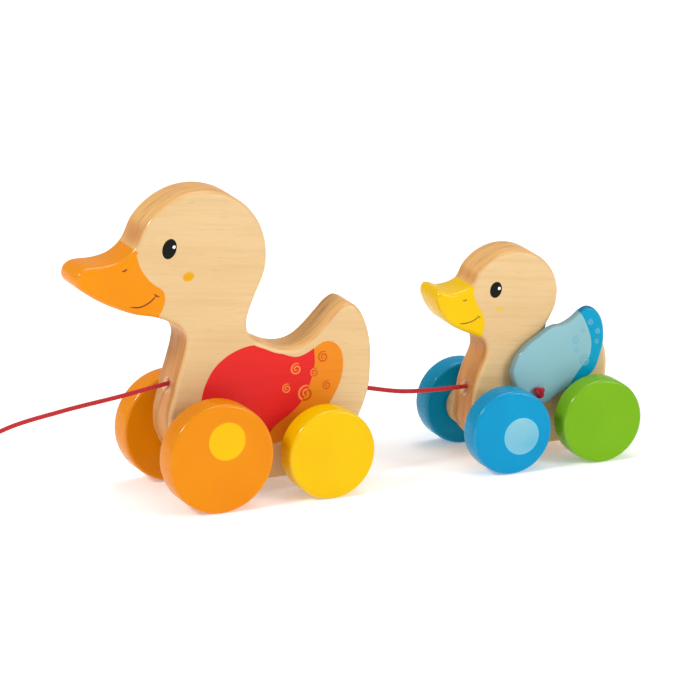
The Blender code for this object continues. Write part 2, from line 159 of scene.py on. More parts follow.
# Paint on the boards: each edge line is continued past the outline on both ends
MOTHER_BEAK_EDGE = [
    (-35.6, 133.0), (-33.5, 127.1), (-31.5, 120.6), (-27.4, 114.4), (-23.8, 111.1),
    (-19.9, 108.0), (-19.0, 103.1), (-20.4, 98.6), (-22.7, 95.0), (-26.0, 88.0),
]
DUCKLING_BEAK_EDGE = [
    (-12.6, 95.0), (-10.8, 88.2), (-8.9, 82.7), (-5.9, 77.0), (-4.6, 73.4), (-5.1, 68.2),
    (-6.9, 64.6), (-11.0, 58.0),
]
PRINT_OUTLINE = [
    (-0.3, 50.7), (1.9, 58.3), (6.5, 65.8), (12.9, 71.0), (20.6, 74.2), (28.2, 75.1),
    (36.0, 72.4), (43.5, 68.6), (49.8, 66.6), (54.5, 67.5), (59.3, 69.9), (64.5, 72.5),
    (69.1, 72.0), (73.0, 68.5), (74.6, 63.6), (74.6, 57.7), (73.2, 51.4), (70.1, 45.2),
    (65.0, 37.5), (55.0, 29.5), (38.5, 24.0), (18.0, 24.0), (4.0, 34.0), (-0.8, 43.0),
]
PRINT_RED_EDGE = [
    (59.3, 80.0), (59.4, 69.7), (59.7, 62.5), (58.6, 57.0), (56.6, 51.0), (52.8, 43.8),
    (47.0, 38.4), (37.0, 31.2), (30.0, 18.0),
]
WING_BLUE_EDGE = [
    (43.4, 77.3), (44.8, 73.3), (47.4, 68.5), (50.4, 60.3), (50.9, 54.8), (49.6, 49.1),
    (45.4, 44.7), (39.9, 37.3), (36.0, 29.3),
]
PRINT_SPIRALS = [  # centre, radius
    ((64.2, 64.9), 2.9), ((49.9, 60.3), 3.1), ((59.5, 57.4), 2.3), ((66.1, 50.2), 2.4),
    ((44.8, 51.0), 2.5), ((54.9, 47.3), 4.3),
]
WING_SPIRALS = [
    ((42.7, 59.1), 2.2), ((43.0, 53.9), 1.5), ((47.6, 48.0), 3.0), ((54.6, 62.2), 1.5),
    ((54.1, 57.1), 1.3), ((50.6, 67.4), 1.6), ((46.6, 63.5), 1.2),
]

PULL_ROUTE = [  # (x, y, z) from the mother's front axle, middle plane and floor
    (-7.5, 0.0, 58.4), (-14.3, 0.0, 57.7), (-38.4, 0.0, 54.2), (-69.7, 0.0, 50.3),
    (-100.0, 0.0, 44.5), (-123.0, 0.0, 33.0), (-137.0, 0.0, 17.0), (-146.0, -1.0, 4.5),
    (-154.5, -4.5, 1.5),
]
TAIL_ROUTE = [  # from the coil to the bead
    (-180.5, -6.0, 1.5), (-188.0, -11.5, 1.8), (-186.5, -18.5, 5.5), (-180.0, -20.0, 8.5),
    (-173.0, -20.0, 9.0), (-155.6, -20.0, 9.0),
]
LINK_ROUTE = [
    (86.5, 0.0, 44.2), (93.4, 0.0, 42.4), (110.2, 0.0, 38.7), (126.4, 0.0, 37.3),
    (147.0, 0.0, 36.9),
]

# ---------------- plane geometry


def curve_points(points, step, closed):
    """Points about step apart on a Catmull-Rom curve through the given points."""
    points = [Vector(p) for p in points]
    count = len(points)
    found = []
    for i in range(count if closed else count - 1):
        if closed:
            before, start, end, after = (points[(i + k) % count] for k in (-1, 0, 1, 2))
        else:
            start, end = points[i], points[i + 1]
            before = points[i - 1] if i else start * 2 - end
            after = points[i + 2] if i + 2 < count else end * 2 - start
        reach = (end - start).length
        tangent_a = (end - before) * (reach / max((end - before).length, 1e-6))
        tangent_b = (after - start) * (reach / max((after - start).length, 1e-6))
        pieces = max(1, round(reach / step))
        for k in range(pieces):
            t = k / pieces
            found.append(
                start * (2 * t**3 - 3 * t**2 + 1)
                + tangent_a * (t**3 - 2 * t**2 + t)
                + end * (3 * t**2 - 2 * t**3)
                + tangent_b * (t**3 - t**2)
            )
    if not closed:
        found.append(points[-1])
    return found


def full_turn(count):
    """The angles of count even steps round a circle."""
    return [math.tau * k / count for k in range(count)]


def arc(centre, radius, start_deg, end_deg, steps):
    """Points on part of a circle, both ends included."""
    turns = [
        math.radians(start_deg + (end_deg - start_deg) * k / steps) for k in range(steps + 1)
    ]
    return [(centre[0] + radius * math.cos(a), centre[1] + radius * math.sin(a)) for a in turns]


def duck_outline(points, head):
    """The closed outline, with the head's arc put in at its place in the points."""
    whole = []
    for point in points:
        whole += arc(*head, 9) if point == "head" else [point]
    return curve_points(whole, 1.3, closed=True)


def outward(loop):
    """Unit normals that point out of a closed 2-D loop."""
    count = len(loop)
    area = sum(
        loop[i].x * loop[(i + 1) % count].y - loop[(i + 1) % count].x * loop[i].y
        for i in range(count)
    )
    side = 1.0 if area > 0 else -1.0
    normals = []
    for i in range(count):
        along = (loop[(i + 1) % count] - loop[i - 1]).normalized()
        normals.append(Vector((along.y, -along.x)) * side)
    return normals


def inside(points, polygon):
    """Which of the points lie in the polygon, as a numpy array of truth values."""
    points, polygon = np.array(points, float), np.array(polygon, float)
    x, z = points[:, 0], points[:, 1]
    found = np.zeros(len(points), bool)
    for (x0, z0), (x1, z1) in zip(polygon, np.roll(polygon, -1, 0), strict=True):
        if z0 == z1:
            continue
        crosses = (z0 > z) != (z1 > z)
        found ^= crosses & (x < (x1 - x0) * (z - z0) / (z1 - z0) + x0)
    return found


def crossings(rim, polygon):
    """(piece of the rim, how far along it) for each place where the polygon's edge crosses it."""
    a, c = np.array(rim, float), np.array(polygon, float)
    ab = (np.roll(a, -1, 0) - a)[:, None]
    cd = (np.roll(c, -1, 0) - c)[None]
    ac = c[None] - a[:, None]
    under = ab[..., 0] * cd[..., 1] - ab[..., 1] * cd[..., 0]
    under = np.where(np.abs(under) < 1e-12, 1e-12, under)
    t = (ac[..., 0] * cd[..., 1] - ac[..., 1] * cd[..., 0]) / under
    u = (ac[..., 0] * ab[..., 1] - ac[..., 1] * ab[..., 0]) / under
    met = (t > 0.01) & (t < 0.99) & (u >= 0) & (u < 1)
    return [(int(i), float(t[i, k])) for i, k in zip(*np.nonzero(met), strict=True)]


def ellipse(centre, half_wide, half_tall, lean_deg=0.0, steps=40):
    lean = math.radians(lean_deg)
    found = []
    for a in full_turn(steps):
        x, z = half_wide * math.cos(a), half_tall * math.sin(a)
        found.append(
            Vector((
                centre[0] + x * math.cos(lean) + z * math.sin(lean),
                centre[1] - x * math.sin(lean) + z * math.cos(lean),
            ))
        )
    return found


def stroke(points, width, step=0.5):
    """The outline of a brush line that thins towards its ends."""
    line = curve_points(points, step, closed=False)
    count = len(line)
    left, right = [], []
    for i, spot in enumerate(line):
        along = (line[min(i + 1, count - 1)] - line[max(i - 1, 0)]).normalized()
        side = Vector((-along.y, along.x))
        end = min(i, count - 1 - i) / max(1, count // 6)
        half = width / 2 * (0.45 + 0.55 * min(1.0, end))
        left.append(spot + side * half)
        right.append(spot - side * half)
    return left + right[::-1]


def spiral(centre, radius, end_deg=60.0, turns=1.8):
    """A curl that winds in from its end to its centre, as the outline of a brush line."""
    points = []
    steps = 16
    for k in range(steps + 1):
        t = k / steps
        a = math.radians(end_deg) + math.tau * turns * (1 - t)
        r = radius * (0.12 + 0.88 * t)
        points.append((centre[0] + r * math.cos(a), centre[1] + r * math.sin(a)))
    return stroke(points, radius * 0.26, 0.4)


def side_of(edge, far_x):
    """The polygon between an edge line from top to bottom and a far upright line."""
    line = curve_points(edge, 0.8, closed=False)
    return line + [Vector((far_x, line[-1].y)), Vector((far_x, line[0].y))]


# ---------------- meshes


def new_object(name, data):
    obj = bpy.data.objects.new(name, data)
    bpy.context.scene.collection.objects.link(obj)
    return obj


def finished(name, bm, materials):
    """Turns bm into an object that wears the materials."""
    mesh = bpy.data.meshes.new(name)
    bm.to_mesh(mesh)
    bm.free()
    for material in materials:
        mesh.materials.append(material)
    return new_object(name, mesh)


def smooth_sides(bm):
    """Faces point out, and all but the end caps shade smooth."""
    bmesh.ops.recalc_face_normals(bm, faces=bm.faces)
    for face in bm.faces:
        face.smooth = len(face.verts) == 4


def clean_object(name, bm, materials, flat_across_y=True):
    """Turns bm into an object: faces point out, and all but the flat Y faces shade smooth."""
    bmesh.ops.remove_doubles(bm, verts=bm.verts, dist=0.004 * MM)
    bmesh.ops.recalc_face_normals(bm, faces=bm.faces)
    for face in bm.faces:
        face.smooth = not (flat_across_y and abs(face.normal.y) > 0.999)
    return finished(name, bm, materials)


class Paint:
    """An area of colour on a board: every polygon has to hold a point for it to be painted."""

    def __init__(self, material, *polygons, wraps=False):
        self.material = material
        self.polygons = polygons
        self.wraps = wraps  # goes on over the board's rounded edge

    def holds(self, points):
        found = np.ones(len(points), bool)
        for polygon in self.polygons:
            found &= inside(points, polygon)
        return found


def with_crossings(loop, normals, inset, paints):
    """The loop and its normals with a point added wherever a paint edge crosses its inset."""
    rim = [p - n * inset for p, n in zip(loop, normals, strict=True)]
    added = {}
    for paint in paints:
        for polygon in paint.polygons:
            for i, t in crossings(rim, polygon):
                added.setdefault(i, set()).add(t)
    new_loop, new_normals = [], []
    for i, (point, normal) in enumerate(zip(loop, normals, strict=True)):
        j = (i + 1) % len(loop)
        new_loop.append(point)
        new_normals.append(normal)
        for t in sorted(added.get(i, ())):
            new_loop.append(point.lerp(loop[j], t))
            new_normals.append(normal.lerp(normals[j], t))
    return new_loop, new_normals


def painted_flat(bm, rim, shift, y, paints, slots):
    """Fills the closed rim at y with triangles that follow every paint edge."""
    points = list(rim)
    edges = [(i, (i + 1) % len(rim)) for i in range(len(rim))]
    for paint in paints:
        for polygon in paint.polygons:
            start, count = len(points), len(polygon)
            points += polygon
            edges += [(start + i, start + (i + 1) % count) for i in range(count)]
    spots, _, faces, *_ = delaunay_2d_cdt(points, edges, [], 1, 1e-4)
    middles = [sum((spots[v] for v in face), Vector((0, 0))) / len(face) for face in faces]
    kept = inside(middles, rim)
    slot_of = np.zeros(len(faces), int)
    for paint in paints:
        slot_of[paint.holds(middles)] = slots[paint.material]
    verts = {}
    for face, keep, slot in zip(faces, kept, slot_of, strict=True):
        if not keep:
            continue
        for v in face:
            if v not in verts:
                spot = Vector((spots[v].x + shift, y, spots[v].y))
                verts[v] = bm.verts.new(spot * MM)
        bm.faces.new([verts[v] for v in face]).material_index = int(slot)


def board(name, loop, shift, y_low, y_high, rounding, base, paints, steps=5):
    """A flat board cut to a closed outline, with both rims rounded and both sides painted."""
    loop, normals = with_crossings(loop, outward(loop), rounding, paints)
    materials = [base]
    for paint in paints:
        if paint.material not in materials:
            materials.append(paint.material)
    slots = {material: i for i, material in enumerate(materials)}
    turns = [math.pi / 2 * k / steps for k in range(steps + 1)]
    rims = [(rounding * (1 - math.sin(a)), rounding * (1 - math.cos(a))) for a in turns]
    levels = [(inset, y_low + deep) for inset, deep in rims]
    levels += [(inset, y_high - deep) for inset, deep in reversed(rims)]
    count = len(loop)
    edge_middles = [(loop[i] + loop[(i + 1) % count]) / 2 for i in range(count)]
    edge_slots = np.zeros(count, int)
    for paint in paints:
        if paint.wraps:
            edge_slots[paint.holds(edge_middles)] = slots[paint.material]
    bm = bmesh.new()
    rings = []
    for inset, y in levels:
        ring = []
        for point, normal in zip(loop, normals, strict=True):
            edge = point - normal * inset
            ring.append(bm.verts.new(Vector((edge.x + shift, y, edge.y)) * MM))
        rings.append(ring)
    for low, high in pairwise(rings):
        for i in range(count):
            j = (i + 1) % count
            face = bm.faces.new((low[i], low[j], high[j], high[i]))
            face.material_index = int(edge_slots[i])
    rim = [p - n * rounding for p, n in zip(loop, normals, strict=True)]
    for y in (y_low, y_high):
        painted_flat(bm, rim, shift, y, paints, slots)
    return clean_object(name, bm, materials)


def turned_rings(bm, rings, segments, closed=False):
    """Faces between neighbouring rings of (centre, radius) across Y. A radius of 0 is one point."""
    made = []
    for centre, radius in rings:
        ring = []
        for a in full_turn(segments) if radius else [0.0]:
            spot = Vector(centre) + Vector((radius * math.sin(a), 0, -radius * math.cos(a)))
            ring.append(bm.verts.new(spot * MM))
        made.append(ring)
    if closed:
        made.append(made[0])
    for low, high in pairwise(made):
        for k in range(segments):
            n = (k + 1) % segments
            corners = [low[k % len(low)], low[n % len(low)], high[n % len(high)], high[k % len(high)]]
            if len(low) == 1:
                corners.pop(0)
            elif len(high) == 1:
                corners.pop(2)
            bm.faces.new(corners)


def rounded_rim(y_in, y_out, radius, rounding, steps):
    """(y, radius) points round both edges of a disc, from y_in to y_out."""
    side = 1 if y_out > y_in else -1
    turns = [math.pi / 2 * k / steps for k in range(steps + 1)]
    found = [
        (y_in + side * rounding * (1 - math.cos(a)), radius - rounding * (1 - math.sin(a)))
        for a in turns
    ]
    found += [
        (y_out - side * rounding * (1 - math.cos(a)), radius - rounding * (1 - math.sin(a)))
        for a in reversed(turns)
    ]
    return found


def wheel(node, duck_x, spot, side, wide, bore_r, paint, dot):
    """A turned wooden wheel: rounded rims, a blind bore for the axle, a printed dot off-centre."""
    x, radius = spot
    y_in, y_out = side * WHEEL_IN, side * (WHEEL_IN + wide)
    y_bore = side * (WHEEL_IN + WHEEL_BORE_DEEP)
    centre = Vector((duck_x + x, 0, radius))
    rim = rounded_rim(y_in, y_out, radius, WHEEL_ROUND, 5)
    profile = [(y_bore, 0.0), (y_bore, bore_r), (y_in, bore_r), *rim]
    bm = bmesh.new()
    turned_rings(bm, [(centre + Vector((0, y, 0)), r) for y, r in profile], WHEEL_SEGMENTS)
    face_r = rim[-1][1]
    circle = [
        Vector((x + face_r * math.sin(a), radius - face_r * math.cos(a)))
        for a in full_turn(WHEEL_SEGMENTS)
    ]
    paints = []
    if dot:
        dot_at, dot_r, dot_paint, dot_edge = dot
        paints.append(Paint(dot_edge, ellipse(dot_at, dot_r, dot_r, steps=72)))
        paints.append(Paint(dot_paint, ellipse(dot_at, dot_r - DOT_RIM, dot_r - DOT_RIM, steps=72)))
    materials = [paint] + [p.material for p in paints]
    slots = {material: i for i, material in enumerate(materials)}
    painted_flat(bm, circle, duck_x, y_out, paints, slots)
    obj = clean_object(f"{node}_look", bm, materials)
    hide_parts(node)
    return obj


def disc(node, duck_x, spot, side, bore_r, radius, offset, towards):
    """A turned disc between board and wheel. Drilled off-centre it is a cam."""
    x, z = spot
    centre = Vector((duck_x + x, 0, z))
    shift = Vector((offset * math.cos(towards), 0, offset * math.sin(towards)))
    y_in, y_out = side * (BODY_HALF + DISC_GAP), side * (WHEEL_IN - DISC_GAP)
    rings = [(centre + Vector((0, y_in, 0)), bore_r)]
    for y, r in rounded_rim(y_in, y_out, radius, 0.8, 3):
        rings.append((centre + shift + Vector((0, y, 0)), r))
    rings.append((centre + Vector((0, y_out, 0)), bore_r))
    bm = bmesh.new()
    turned_rings(bm, rings, 72, closed=True)
    obj = clean_object(f"{node}_look", bm, [TURNED])
    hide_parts(node)
    return obj


def cutter(start, end, radius, end_radius, material):
    """A rod or cone from start to end, to be taken out of a board."""
    bm = bmesh.new()
    turn = (Vector(end) - Vector(start)).to_track_quat("Z", "Y").to_matrix()
    rings = []
    for centre, size in ((start, radius), (end, end_radius)):
        ring = []
        for a in full_turn(40):
            offset = turn @ Vector((size * math.cos(a), size * math.sin(a), 0))
            ring.append(bm.verts.new((Vector(centre) + offset) * MM))
        bm.faces.new(ring)
        rings.append(ring)
    for k in range(40):
        n = (k + 1) % 40
        bm.faces.new((rings[0][k], rings[0][n], rings[1][n], rings[1][k]))
    smooth_sides(bm)
    return finished("cutter", bm, [material])


def bored(obj, holes, material):
    """Cuts (start, end, radius, end radius) holes out of a board. Their walls get the material."""
    obj.data.materials.append(material)
    cutters = [cutter(*hole, material) for hole in holes]
    for k, tool in enumerate(cutters):
        cut = obj.modifiers.new(f"hole_{k}", "BOOLEAN")
        cut.operation = "DIFFERENCE"
        cut.solver = "EXACT"
        cut.material_mode = "TRANSFER"
        cut.object = tool
    bpy.context.view_layer.update()
    graph = bpy.context.evaluated_depsgraph_get()
    mesh = bpy.data.meshes.new_from_object(obj.evaluated_get(graph))
    mesh.name = obj.name
    obj.modifiers.clear()
    obj.data = mesh
    for tool in cutters:
        bpy.data.objects.remove(tool, do_unlink=True)
    return obj


def cord_hole(duck_x, mouth, side):
    """A countersunk blind hole along X. side is -1 where it opens at a chest, 1 at a tail."""
    x, z = duck_x + mouth[0], mouth[1]
    start = (x + side * 2.5, 0, z)
    return [
        (start, (x - side * CORD_HOLE_DEEP, 0, z), CORD_HOLE_R, CORD_HOLE_R),
        (start, (x - side * SINK_DEEP, 0, z), SINK_R, CORD_HOLE_R),
    ]


def cross_bore(duck_x, spot, radius):
    """A hole through a body from side to side."""
    x, z = duck_x + spot[0], spot[1]
    return ((x, -BODY_HALF - 2, z), (x, BODY_HALF + 2, z), radius, radius)


def swept(name, points, radius, material, sides=12, closed=False):
    """A tube of even thickness along points, with U along it in metres and V round it."""
    points = [Vector(p) for p in points]
    count = len(points)
    bm = bmesh.new()
    uv = bm.loops.layers.uv.new("along")
    normal = None
    rings, travelled, far = [], [], 0.0
    for i, spot in enumerate(points):
        if closed:
            along = (points[(i + 1) % count] - points[i - 1]).normalized()
        else:
            along = (points[min(i + 1, count - 1)] - points[max(i - 1, 0)]).normalized()
        if normal is None:
            normal = along.orthogonal().normalized()
        normal = (normal - along * normal.dot(along)).normalized()
        across = along.cross(normal)
        ring = []
        for a in full_turn(sides):
            offset = (normal * math.cos(a) + across * math.sin(a)) * radius
            ring.append(bm.verts.new((spot + offset) * MM))
        rings.append(ring)
        far += (spot - points[i - 1]).length if i else 0.0
        travelled.append(far)
    pieces = count if closed else count - 1
    for i in range(pieces):
        low, high = rings[i], rings[(i + 1) % count]
        u_low = travelled[i]
        u_high = travelled[i + 1] if i + 1 < count else far + (points[0] - points[-1]).length
        for k in range(sides):
            n = (k + 1) % sides
            face = bm.faces.new((low[k], low[n], high[n], high[k]))
            for loop, place in zip(
                face.loops,
                ((u_low, k), (u_low, k + 1), (u_high, k + 1), (u_high, k)),
                strict=True,
            ):
                loop[uv].uv = (place[0] * MM, place[1] / sides)
    if not closed:
        bm.faces.new(rings[0])
        bm.faces.new(rings[-1])
    smooth_sides(bm)
    return finished(name, bm, [material])


def tied_knot(name, centre, axis, size, material, strand=CORD * 0.46):
    """An overhand knot pulled tight, lying across the given axis."""
    turn = Vector(axis).to_track_quat("Z", "Y").to_matrix()
    points = []
    for t in full_turn(72):
        flat = Vector((
            math.sin(t) + 2 * math.sin(2 * t),
            math.cos(t) - 2 * math.cos(2 * t),
            -1.5 * math.sin(3 * t),
        ))
        points.append(Vector(centre) + turn @ (flat * size))
    return swept(name, points, strand, material, sides=10, closed=True)


# ---------------- materials

# Colours, linear
SIDE_LIGHT = (0.745, 0.530, 0.275)
SIDE_WARM = (0.690, 0.462, 0.225)
SIDE_GRAIN = (0.600, 0.365, 0.155)
SIDE_FLECK = (0.440, 0.235, 0.090)
EDGE_LIGHT = (0.770, 0.450, 0.165)
EDGE_WARM = (0.690, 0.350, 0.110)
EDGE_DARK = (0.330, 0.120, 0.032)
HOLE_LIGHT = (0.820, 0.540, 0.320)
# End grain is darker wood, and this brown is deepened further as painted shade for the chests
END_GRAIN_AND_SHADE = (0.600, 0.260, 0.078)
ORANGE = (0.745, 0.245, 0.001)
ORANGE_DEEP = (0.680, 0.200, 0.002)
YELLOW = (0.770, 0.485, 0.000)
YELLOW_DEEP = (0.770, 0.420, 0.000)
BLUE = (0.000, 0.283, 0.520)
BLUE_DEEP = (0.000, 0.220, 0.455)
GREEN = (0.172, 0.400, 0.007)
GREEN_DEEP = (0.145, 0.350, 0.006)
BEAK_ORANGE = (0.790, 0.264, 0.002)
BEAK_ORANGE_DEEP = (0.730, 0.220, 0.002)
BEAK_YELLOW = (0.830, 0.525, 0.000)
BEAK_YELLOW_DEEP = (0.760, 0.440, 0.000)
PRINT_RED = (0.715, 0.020, 0.018)
PRINT_ORANGE = (0.770, 0.238, 0.010)
LINE_LIGHT = (0.850, 0.250, 0.050)
LINE_DARK = (0.560, 0.085, 0.006)
DOT_YELLOW = (0.850, 0.480, 0.000)
DOT_YELLOW_RIM = (0.840, 0.390, 0.010)
DOT_BLUE = (0.270, 0.530, 0.600)
DOT_BLUE_RIM = (0.225, 0.650, 0.850)
WING_LIGHT = (0.252, 0.467, 0.520)
WING_LIGHT_DEEP = (0.215, 0.425, 0.480)
WING_BLUE = (0.000, 0.310, 0.515)
WING_BLUE_DEEP = (0.000, 0.245, 0.440)
# Painted shade: the wings' rounded rims are darkened to these two colours
WING_RIM_SHADE = (0.200, 0.330, 0.345)
WING_BLUE_RIM_SHADE = (0.000, 0.150, 0.290)
WING_LINE = (0.150, 0.400, 0.510)
EYE_BLACK = (0.004, 0.004, 0.003)
EYE_GLINT = (0.900, 0.900, 0.880)
CHEEK = (0.750, 0.350, 0.006)
CHEEK_DUCKLING = (0.740, 0.480, 0.055)
SMILE = (0.200, 0.035, 0.012)
SMILE_DUCKLING = (0.280, 0.130, 0.010)
CORD_RED = (0.600, 0.024, 0.028)
CORD_SHADE = (0.360, 0.008, 0.016)
KNOT_RED = (0.460, 0.006, 0.030)
KNOT_SHADE = (0.240, 0.002, 0.012)

GRAIN_LEAN = math.radians(-7.5)  # of the boards' grain to their length


class Nodes:
    """A material's node tree with short ways to add the usual nodes."""

    def __init__(self, name, roughness, specular=0.5):
        self.material = bpy.data.materials.new(name)
        self.material.use_nodes = True
        self.tree = self.material.node_tree
        self.shader = self.tree.nodes["Principled BSDF"]
        self.shader.inputs["Roughness"].default_value = roughness
        self.shader.inputs["Specular IOR Level"].default_value = specular
        self.shader.inputs["Coat Roughness"].default_value = 0.12
        self.coords = self.tree.nodes.new("ShaderNodeTexCoord")

    def add(self, kind, **values):
        node = self.tree.nodes.new(kind)
        for key, value in values.items():
            setattr(node, key, value)
        return node

    def link(self, source, target):
        self.tree.links.new(source, target)

    def stretched(self, scale, lean):
        """Coordinates leaned about Y, then multiplied by scale, per metre."""
        leaned = self.add("ShaderNodeVectorRotate", rotation_type="Y_AXIS")
        self.link(self.coords.outputs["Object"], leaned.inputs["Vector"])
        leaned.inputs["Angle"].default_value = lean
        mapping = self.add("ShaderNodeMapping")
        self.link(leaned.outputs["Vector"], mapping.inputs["Vector"])
        mapping.inputs["Scale"].default_value = scale
        return mapping.outputs["Vector"]

    def noise(self, scale, detail, roughness=0.5, distortion=0.0, lean=0.0):
        vector = self.stretched(scale, lean)
        node = self.add("ShaderNodeTexNoise")
        self.link(vector, node.inputs["Vector"])
        node.inputs["Scale"].default_value = 1.0
        node.inputs["Detail"].default_value = detail
        node.inputs["Roughness"].default_value = roughness
        node.inputs["Distortion"].default_value = distortion
        return node.outputs["Fac"]

    def ramp(self, factor, *stops):
        """A colour ramp of (place, colour) stops. A number as colour is a grey."""
        node = self.add("ShaderNodeValToRGB")
        elements = node.color_ramp.elements
        while len(elements) < len(stops):
            elements.new(0.5)
        for element, (place, colour) in zip(elements, stops, strict=True):
            element.position = place
            if isinstance(colour, float):
                colour = (colour,) * 3
            element.color = (*colour, 1.0)
        self.link(factor, node.inputs["Fac"])
        return node.outputs["Color"]

    def span(self, value, low, high, to_low=0.0, to_high=1.0):
        node = self.add("ShaderNodeMapRange")
        node.interpolation_type = "SMOOTHSTEP"
        self.link(value, node.inputs["Value"])
        for key, number in (
            ("From Min", low), ("From Max", high), ("To Min", to_low), ("To Max", to_high)
        ):
            node.inputs[key].default_value = number
        return node.outputs["Result"]

    def mix(self, factor, a, b):
        """Mixes two colours. Each may be a socket or a fixed colour."""
        node = self.add("ShaderNodeMix", data_type="RGBA")
        for place, value in ((0, factor), (6, a), (7, b)):  # factor, colour A, colour B
            if isinstance(value, bpy.types.NodeSocket):
                self.link(value, node.inputs[place])
            elif place == 0:
                node.inputs[0].default_value = value
            else:
                node.inputs[place].default_value = (*value, 1.0)
        return node.outputs[2]  # the colour result

    def maths(self, operation, a, b):
        node = self.add("ShaderNodeMath", operation=operation)
        for place, value in ((0, a), (1, b)):
            if isinstance(value, bpy.types.NodeSocket):
                self.link(value, node.inputs[place])
            else:
                node.inputs[place].default_value = value
        return node.outputs["Value"]

    def colour(self, socket):
        self.link(socket, self.shader.inputs["Base Color"])

    def roughness(self, socket):
        self.link(socket, self.shader.inputs["Roughness"])

    def bump(self, height, strength, distance):
        """Distance is in metres."""
        node = self.add("ShaderNodeBump")
        node.inputs["Strength"].default_value = strength
        node.inputs["Distance"].default_value = distance
        self.link(height, node.inputs["Height"])
        self.link(node.outputs["Normal"], self.shader.inputs["Normal"])

    def lacquered(self, coat):
        """A clear coat that has gathered on the rounded rims."""
        flat = self.facing("Y")
        rounding = self.maths("MULTIPLY", self.span(flat, 0.1, 0.4), self.span(flat, 0.98, 0.8))
        weight = self.span(rounding, 0.0, 1.0, coat, 6 * coat)
        self.link(weight, self.shader.inputs["Coat Weight"])

    def facing(self, axis):
        """How much the surface faces along an axis of the piece, from 0 to 1."""
        split = self.add("ShaderNodeSeparateXYZ")
        self.link(self.coords.outputs["Normal"], split.inputs["Vector"])
        return self.maths("ABSOLUTE", split.outputs[axis], 0.0)


def beech(name, shift=0.0):
    """Sanded beech under clear lacquer, its grain along X. Sawn edges are darker and striped; the end
    grain's brown is deepened further as painted shade for the chests under the beaks.

    A shift makes another board of it.
    """
    n = Nodes(name, 0.42, specular=0.1)
    n.lacquered(0.1)
    flat = n.facing("Y")
    drift = n.noise((9 + shift, 20, 30), 2.0, lean=GRAIN_LEAN)
    side = n.ramp(drift, (0.3, SIDE_LIGHT), (0.7, SIDE_WARM))
    grain = n.noise((16, 300, 460), 5.0, roughness=0.65, distortion=0.25, lean=GRAIN_LEAN)
    side = n.mix(n.span(grain, 0.42, 0.66, 0.0, 0.28), side, SIDE_GRAIN)
    fleck = n.noise((110, 900, 1700), 1.0, lean=GRAIN_LEAN)
    side = n.mix(n.span(fleck, 0.6, 0.74, 0.0, 0.18), side, SIDE_FLECK)
    broad = n.noise((12, 130, 12), 3.0, distortion=0.5)
    fine = n.noise((50, 620, 50), 3.0, roughness=0.6, distortion=0.3)
    edge = n.ramp(broad, (0.36, EDGE_LIGHT), (0.66, EDGE_WARM))
    edge = n.mix(n.span(fine, 0.5, 0.7, 0.0, 0.4), edge, EDGE_DARK)
    ring = n.noise((14 + shift, 150, 14), 4.0, distortion=0.5)
    # X-facing end grain: darker wood, deepened further as painted shade
    end = n.mix(n.span(ring, 0.45, 0.66, 0.0, 0.65), END_GRAIN_AND_SHADE, EDGE_DARK)
    edge = n.mix(n.span(n.facing("X"), 0.75, 0.97, 0.0, 0.9), edge, end)
    n.colour(n.mix(n.span(flat, 0.55, 0.92), edge, side))
    n.roughness(n.span(grain, 0.3, 0.7, 0.38, 0.5))
    n.bump(n.maths("ADD", grain, n.maths("MULTIPLY", fleck, 0.5)), 0.25, 0.00012)
    return n.material


def turned_beech(name):
    """Plain beech for discs, bead and axles, its grain along Y."""
    n = Nodes(name, 0.5, specular=0.25)
    grain = n.noise((420, 26, 420), 5.0, roughness=0.6)
    drift = n.noise((60, 20, 60), 2.0)
    wood = n.ramp(drift, (0.3, SIDE_LIGHT), (0.7, SIDE_WARM))
    n.colour(n.mix(n.span(grain, 0.45, 0.7, 0.0, 0.5), wood, EDGE_WARM))
    n.roughness(n.span(grain, 0.3, 0.7, 0.45, 0.6))
    n.bump(grain, 0.3, 0.00012)
    return n.material


def gloss_paint(name, colour, deep, grain_axis="X", roughness=0.25, coat=0.13, rim=None):
    """Paint on wood: even, a little deeper here and there, the grain just felt through it. A rim colour,
    where given, is painted shade on the rounded rims.
    """
    n = Nodes(name, roughness, specular=0.05)
    n.lacquered(coat)
    stretch = {"X": (30, 300, 300), "Y": (300, 30, 300)}[grain_axis]
    grain = n.noise(stretch, 4.0, roughness=0.6)
    cloud = n.noise((28, 28, 28), 2.0)
    tone = n.mix(n.span(cloud, 0.35, 0.7, 0.0, 0.5), colour, deep)
    tone = n.mix(n.span(grain, 0.4, 0.8, 0.0, 0.12), tone, deep)
    # Painted shade: surfaces that don't face along Y, the rims, turn to the darker rim colour
    if rim:
        tone = n.mix(n.span(n.facing("Y"), 0.5, 0.95), rim, tone)
    n.colour(tone)
    peel = n.noise((900, 900, 900), 1.0)
    n.roughness(n.span(grain, 0.3, 0.7, roughness - 0.04, roughness + 0.07))
    n.bump(n.maths("ADD", n.maths("MULTIPLY", grain, 0.3), peel), 0.02, 0.00004)
    return n.material


